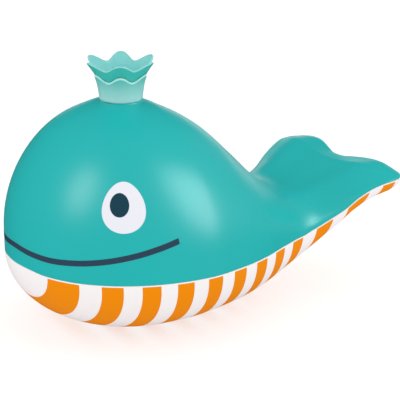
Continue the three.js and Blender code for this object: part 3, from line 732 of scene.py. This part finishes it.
def on_head(surface, turn, z, lift):
    """The point of the head at a turn in degrees from the nose and a height, lifted off the surface."""
    angle = math.radians(turn)
    outwards = Vector((-math.cos(angle), -math.sin(angle), 0))
    spot, normal, _, _ = surface.ray_cast(Vector((PRINT_X, 0, z)), outwards)
    if normal.dot(outwards) < 0:
        normal = -normal
    return spot + normal * lift


def oval_print(name, surface, ink, turn, z, half_turn, half_height, egg, lift):
    """An egg-shaped patch of ink that hugs the head."""
    rings = []
    for share, height in [(k / PRINT_RINGS, lift) for k in range(PRINT_RINGS + 1)] + [(1, -INK)]:
        ring = []
        for k in range(TURN_STEPS):
            angle = 2 * math.pi * k / TURN_STEPS
            up = share * math.cos(angle)
            across = share * math.sin(angle) * (1 - egg * up)
            ring.append(on_head(surface, turn + half_turn * across, z + half_height * up, height))
        rings.append(ring)
    skin = Skin()
    skin.loops(rings)
    skin.finish(name, "top", ink, sharp=SHARP_SOFT)


def mouth_print(surface):
    """The mouth line, one stroke round the front of the head with square ends."""
    one_side = through(MOUTH)
    reach = MOUTH[-1][0]

    def height(turn):
        return one_side(abs(turn))

    rows = []
    for k in range(2 * MOUTH_STEPS + 1):
        turn = reach * (k / MOUTH_STEPS - 1)
        radius = (on_head(surface, turn, height(turn), 0).xy - Vector((PRINT_X, 0))).length
        climb = height(turn + SLOPE_STEP) - height(turn - SLOPE_STEP)
        tilt = math.atan2(climb, radius * math.radians(2 * SLOPE_STEP))
        row = []
        for share, lift in ((-1, -INK), (-1, INK), (-0.5, INK), (0, INK), (0.5, INK), (1, INK), (1, -INK)):
            offset = share * MOUTH_WIDTH / 2
            turn_off = math.degrees(-offset * math.sin(tilt) / radius)
            row.append(on_head(surface, turn + turn_off, height(turn) + offset * math.cos(tilt), lift))
        rows.append(row)
    skin = Skin()
    skin.rows(rows)
    skin.finish("mouth_line", "top", mouth_ink, sharp=SHARP_SOFT)


def face_prints():
    """An eye with its pupil on each side, and the mouth line."""
    surface = head_surface()
    for side, word in ((1, "near"), (-1, "far")):
        oval_print(
            f"eye_{word}", surface, white_ink, side * EYE_TURN, EYE_Z, side * EYE_HALF_TURN, EYE_HALF_HEIGHT,
            EYE_EGG, INK,
        )
        oval_print(
            f"pupil_{word}", surface, dark_ink, side * PUPIL_TURN, PUPIL_Z, side * PUPIL_HALF_TURN,
            PUPIL_HALF_HEIGHT, 0, 2 * INK,
        )
    mouth_print(surface)


# Spout
def lip(radius, height, half, out_wave, up_wave):
    """Rounded edge from the outside of a wall to its inside."""
    turns = [math.pi * k / LIP_STEPS for k in range(LIP_STEPS + 1)]
    return [(radius + half * math.cos(a), height + half * math.sin(a), out_wave, up_wave) for a in turns]


def straight(start, end, count):
    """Rows of a straight wall between two rows, without its ends."""
    return [tuple(a + (b - a) * k / count for a, b in zip(start, end)) for k in range(1, count)]


def spout_cup(axis):
    """Lower tier with the stem that plugs into the head."""
    groove = SEAL_GROOVE_UP - STEM_LENGTH
    groove_top = groove + SEAL_GROOVE_WIDTH
    groove_r = STEM_R - SEAL_GROOVE_DEPTH
    half = CUP_WALL / 2
    bore = FUNNEL_TUBE_R + FIT
    foot = CUP_SEAT_GAP - FIT
    round_off = CUP_FOOT_ROUND
    wall = []
    for k in range(1, CUP_STEPS):
        share = k / CUP_STEPS
        radius = CUP_BASE_R + (CUP_RIM_R - CUP_BASE_R) * share - CUP_WALL * share * (1 - share)
        wall.append((radius, (CUP_RIM_UP - half) * share, CUP_FLARE * share**2, CUP_WAVE * share**2))
    inside = [(r - CUP_WALL, z, out, up) for r, z, out, up in reversed(wall) if z > CUP_FLOOR]
    cup = turned(
        "spout_cup", "crown", cup_pp,
        [
            (STEM_R, -STEM_LENGTH), (STEM_R, groove), (groove_r, groove), (groove_r, groove_top),
            (STEM_R, groove_top), (STEM_R, foot), (CUP_BASE_R - round_off, foot), (CUP_BASE_R, round_off / 2),
            *wall,
            *lip(CUP_RIM_R - half, CUP_RIM_UP - half, half, CUP_FLARE, CUP_WAVE),
            *inside,
            (CUP_BASE_R - CUP_WALL, CUP_FLOOR), (bore, CUP_FLOOR), (bore, LEDGE - STEM_LENGTH),
            (LEDGE_R, LEDGE - STEM_LENGTH), (LEDGE_R, -STEM_LENGTH),
        ],
        axis, 2 * TURN_STEPS,
    )
    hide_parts("crown_cup")


def spout_funnel(axis):
    """Upper tier: its tube slides into the cup and its shoulder covers the cup's rim."""
    low = LEDGE + FIT + SCREEN_THICK + FIT - STEM_LENGTH
    floor = CUP_FLOOR + FIT
    bowl = CUP_BASE_R - CUP_WALL - 2 * FIT
    tube_in = FUNNEL_TUBE_R - FUNNEL_WALL
    half = FUNNEL_WALL / 2
    wave = (CUP_FLARE, CUP_WAVE)
    quarter_wave = (CUP_FLARE / 4, CUP_WAVE / 4)
    middle_r = (CUP_BASE_R + CUP_RIM_R) / 2 - 1.5 * CUP_WALL - FIT
    middle_up = CUP_RIM_UP / 2
    waist_r = CUP_RIM_R - CUP_WALL - 1.5 * FIT
    waist_up = CUP_RIM_UP - CUP_WALL / 2
    shoulder_up = CUP_RIM_UP + SHOULDER_GAP
    shoulder = (CUP_RIM_R - FIT, shoulder_up + 2 * SHOULDER_GAP, *wave)
    edge = lip(FUNNEL_RIM_R - half, FUNNEL_RIM_UP - half, half, FUNNEL_FLARE, FUNNEL_WAVE)
    throat = (waist_r - FUNNEL_WALL, waist_up + FUNNEL_WALL, *wave)
    outside = [
        (FUNNEL_TUBE_R, low), (FUNNEL_TUBE_R, floor), (bowl, floor), (middle_r, middle_up, *quarter_wave),
        (waist_r, waist_up, *wave), (waist_r + FIT, shoulder_up, *wave),
        (CUP_RIM_R - 2 * FIT, shoulder_up, *wave), shoulder, *straight(shoulder, edge[0], FUNNEL_STEPS),
    ]
    inside = [
        *edge, *straight(edge[-1], throat, FUNNEL_STEPS), throat,
        (middle_r - FUNNEL_WALL, middle_up, *quarter_wave), (bowl - FUNNEL_WALL, floor + FUNNEL_WALL),
        (tube_in, floor + FUNNEL_WALL), (tube_in, low),
    ]
    # one plastic: the outside wears the painted shade, the lining the painted light
    funnel = turned(
        "spout_funnel", "crown", funnel_pp_painted_shade, outside + inside, axis, 2 * TURN_STEPS,
        lining=(funnel_pp_painted_light, len(outside)),
    )
    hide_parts("crown_funnel")


def rolled_rim(axis):
    """Bead round the cup's wavy rim."""
    middle = CUP_RIM_R - BEAD_R + BEAD_OUT
    up = CUP_RIM_UP - BEAD_R
    turns = [2 * math.pi * k / BEAD_STEPS for k in range(BEAD_STEPS)]
    ring = [(middle + BEAD_R * math.cos(a), up + BEAD_R * math.sin(a), CUP_FLARE, CUP_WAVE) for a in turns]
    # the bead wears the painted highlight
    bead = turned("spout_cup_rim", "crown", rim_pp_painted_highlight, ring, axis, 2 * TURN_STEPS, sharp=SHARP_ROLLED)


def spout():
    """Both tiers and the bead, on an axis that starts at the seat."""
    axis = CROWN_AXIS @ Matrix.Translation((0, 0, CROWN_Z))
    spout_cup(axis)
    rolled_rim(axis)
    spout_funnel(axis)


# Riser, hose and mouthpiece
def riser_tube():
    """Sleeve over the head's collar and a straight bore."""
    sleeve = SEAT_R + FIT
    top = DOME_Z - WALL - RISER_HEAD_GAP
    seat = COLLAR_Z - FIT
    shoulder = seat - 2 * RISER_WALL
    tube = turned(
        "foam_riser", "top", milky_pp,
        [
            (sleeve, top), (sleeve, seat), (RISER_BORE_R, seat), (RISER_BORE_R, TUBE_END_Z),
            (TUBE_R, TUBE_END_Z), (TUBE_R, shoulder - RISER_WALL), (sleeve + RISER_WALL, shoulder),
            (sleeve + RISER_WALL, top),
        ],
        CROWN_AXIS,
    )
    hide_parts("riser_tube")


def riser_bell():
    """Bell on the foot of the riser, with arches and a slot over the diffuser's spigot."""
    socket = TUBE_R + FIT
    top = TUBE_END_Z + BELL_SOCKET
    seat = TUBE_END_Z - FIT
    middle = (RISER_BORE_R + BELL_R) / 2
    profile = through([
        (-BELL_HEIGHT, RISER_BORE_R), (-BELL_HEIGHT / 2, TUBE_R), (-BELL_HEIGHT / 4, middle), (0, BELL_R),
    ])
    ups = [BELL_HEIGHT * (1 - k / BELL_STEPS) for k in range(1, BELL_STEPS + 1)]
    bell = turned(
        "riser_foot", "top", milky_pp,
        [
            (socket, top), (socket, seat), (RISER_BORE_R, seat),
            *[(profile(-up), BELL_Z + up) for up in ups],
            *[(profile(-up) + RISER_WALL, BELL_Z + up) for up in reversed(ups)],
            (socket + RISER_WALL, seat), (socket + RISER_WALL, top),
        ],
        CROWN_AXIS,
    )
    tools = []
    reach = 4 * BELL_R  # well past the bell
    for turn in (math.pi / 4, 3 * math.pi / 4):
        tools.append(block((reach, ARCH_WIDTH, 2 * ARCH_HEIGHT), (0, 0, BELL_Z), turn))
    room = SPIGOT_R + 2 * FIT
    tools.append(block((reach, 2 * room, SPIGOT_Z), (reach / 2, 0, SPIGOT_Z / 2), 0))
    across = CROWN_AXIS @ Matrix.Translation((0, 0, SPIGOT_Z)) @ Matrix.Rotation(math.pi / 2, 4, "Y")
    tools.append(rod(room, 0, reach, across))
    cut(bell, *tools)
    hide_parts("riser_bell")


def block(size, middle, turn):
    """Plain block for cutting, about the spout's axis."""
    mesh = bmesh.new()
    shape = Matrix.Rotation(turn, 4, "Z") @ Matrix.Translation(Vector(middle) * MM)
    scale = Matrix.Diagonal((*(Vector(size) * MM), 1))
    bmesh.ops.create_cube(mesh, size=1, matrix=metres(CROWN_AXIS) @ shape @ scale)
    return place(mesh, "block")


def air_hose():
    """Hose from the diffuser's spigot, along the belly and up to the valve's barb."""
    start = CROWN_X + SPIGOT_REACH - HOSE_GRIP
    line = bpy.data.curves.new("air_line", "CURVE")
    line.dimensions = "3D"
    line.bevel_depth = HOSE_R * MM
    line.bevel_resolution = HOSE_ROUND_STEPS
    line.resolution_u = HOSE_STEPS
    line.use_fill_caps = True
    outlet = [Vector((start + k * HOSE_GRIP, 0, SPIGOT_Z)) for k in (0, 1, 2)]
    climb = [Vector((x, 0, z)) for x, z in HOSE_ROUTE]
    inlet = [INLET_AXIS @ Vector((0, 0, BARB_END + k * HOSE_GRIP)) for k in (1, 0, -1)]
    route = [*outlet, *climb, *inlet]
    spline = line.splines.new("BEZIER")
    spline.bezier_points.add(len(route) - 1)
    for knot, point in zip(spline.bezier_points, route):
        knot.co = point * MM
        knot.handle_left_type = knot.handle_right_type = "AUTO"
    drawn = bpy.data.objects.new("air_line", line)
    bpy.context.scene.collection.objects.link(drawn)
    bpy.context.view_layer.update()
    data = bpy.data.meshes.new_from_object(drawn.evaluated_get(bpy.context.evaluated_depsgraph_get()))
    bpy.data.objects.remove(drawn)
    data.materials.append(silicone)
    hose = bpy.data.objects.new("air_line", data)
    bpy.context.scene.collection.objects.link(hose)
    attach(hose, "belly")
    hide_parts("air_hose")


def mouthpiece():
    """Soft sleeve in the inlet's socket, with a rolled lip outside."""
    end = -FIT - MOUTH_LIP
    inner = MOUTH_BORE_R + MOUTH_EASE
    middle = (MOUTH_LIP_R + inner) / 2
    half = (MOUTH_LIP_R - inner) / 2
    turns = [math.pi * k / ROLL_STEPS for k in range(ROLL_STEPS + 1)]
    rolled = [(middle - half * math.cos(a), end + half - half * math.sin(a)) for a in turns]
    piece = turned(
        "mouthpiece_lip", "belly", silicone,
        [
            (MOUTH_BORE_R, MOUTH_SHAFT), (MOUTH_BORE_R, -FIT), *rolled, (MOUTH_LIP_R, -FIT),
            (SOCKET_BORE_R - FIT, -FIT), (SOCKET_BORE_R - FIT, MOUTH_SHAFT),
        ],
        INLET_AXIS, sharp=SHARP_SOFT,
    )
    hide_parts("mouthpiece")


def inner_finishes():
    """Small inner pieces keep their solids and get real finishes."""
    finishes = {
        milky_pp: ("foam_screen", "diffuser", "valve_body", "valve_cap"),
        silicone: ("crown_seal", "valve_disc"),
    }
    for material, names in finishes.items():
        for name in names:
            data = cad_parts[name].data
            data.materials.clear()
            data.materials.append(material)


# Studio
CAMERA_AT = (-399.5, -636.4, 301.3)
CAMERA_TURN = 32.38  # degrees from +y towards +x
CAMERA_DROP = 18.14  # degrees down
CAMERA_LENS = 131.1
CAMERA_SENSOR = 36
CAMERA_CLIP = 20000
FLOOR_SIZE = 6000
FLOOR_DROP = 0.05  # keeps the floor clear of the belly's flat
FLOOR_GLOW = 0.64
FLOOR_TINT = (1, 0.985, 0.98, 1)
WORLD_GLOW = 1.26
WORLD_TINT = (1, 0.99, 0.985, 1)
LAMPS_AIM_AT = (-20, 0, 60)
LAMPS = [  # name, place, width and height, watts, and whether it lights the toy or only makes highlights
    ("softbox_left", (-925, -225, 660), (440, 720), 6.2, False),
    ("softbox_right", (520, -862, 530), (660, 1140), 15.8, False),
    ("backdrop", (960, 1150, 130), (1500, 300), 1.6, False),
    ("softbox_side", (1250, -50, 500), (1700, 1350), 1.4, True),
]


def lay_floor():
    """Floor for the picture: it is no piece of the toy."""
    mesh = bmesh.new()
    bmesh.ops.create_grid(mesh, x_segments=1, y_segments=1, size=FLOOR_SIZE / 2 * MM)
    # Matt white table with a glow of its own: no edge shows between it and the background
    table = moulded(
        "lit_table_matt", "#a8a6a6", roughness=0.9, grain_mm=2.0, relief_mm=0.02, tint=0.005,
        **{"Specular IOR Level": 0, "Emission Color": FLOOR_TINT, "Emission Strength": FLOOR_GLOW},
    )
    floor = place(mesh, "floor", materials=[table])
    floor.location.z = -FLOOR_DROP * MM
    floor.visible_glossy = False  # the lamps alone shine on the toy


def light_room(scene):
    """Even white light from all round, and lamps for the highlights and one side."""
    scene.view_settings.view_transform = "Standard"
    world = bpy.data.worlds.new("studio")
    scene.world = world
    world.use_nodes = True
    world.cycles_visibility.glossy = False
    background = world.node_tree.nodes["Background"]
    background.inputs["Color"].default_value = WORLD_TINT
    background.inputs["Strength"].default_value = WORLD_GLOW
    for name, place_at, (wide, tall), watts, fills in LAMPS:
        lamp = bpy.data.lights.new(name, "AREA")
        lamp.shape = "ELLIPSE"
        lamp.size = wide * MM
        lamp.size_y = tall * MM
        lamp.energy = watts
        holder = bpy.data.objects.new(name, lamp)
        holder.location = Vector(place_at) * MM
        holder.visible_diffuse = fills
        aim = Vector(LAMPS_AIM_AT) * MM - holder.location
        holder.rotation_euler = aim.to_track_quat("-Z", "Y").to_euler()
        scene.collection.objects.link(holder)


def aim_camera(scene):
    """Camera at the place that was fitted to the photograph."""
    camera = bpy.data.cameras.new("camera")
    camera.lens = CAMERA_LENS
    camera.sensor_width = CAMERA_SENSOR
    camera.clip_end = CAMERA_CLIP * MM
    holder = bpy.data.objects.new("camera", camera)
    holder.location = Vector(CAMERA_AT) * MM
    holder.rotation_euler = (math.radians(90 - CAMERA_DROP), 0, math.radians(-CAMERA_TURN))
    scene.collection.objects.link(holder)
    scene.camera = holder


def studio():
    lay_floor()
    light_room(bpy.context.scene)
    aim_camera(bpy.context.scene)


upper_shell()
belly_shell()
seam_gasket()
face_prints()
spout()
riser_tube()
riser_bell()
air_hose()
mouthpiece()
inner_finishes()
studio()
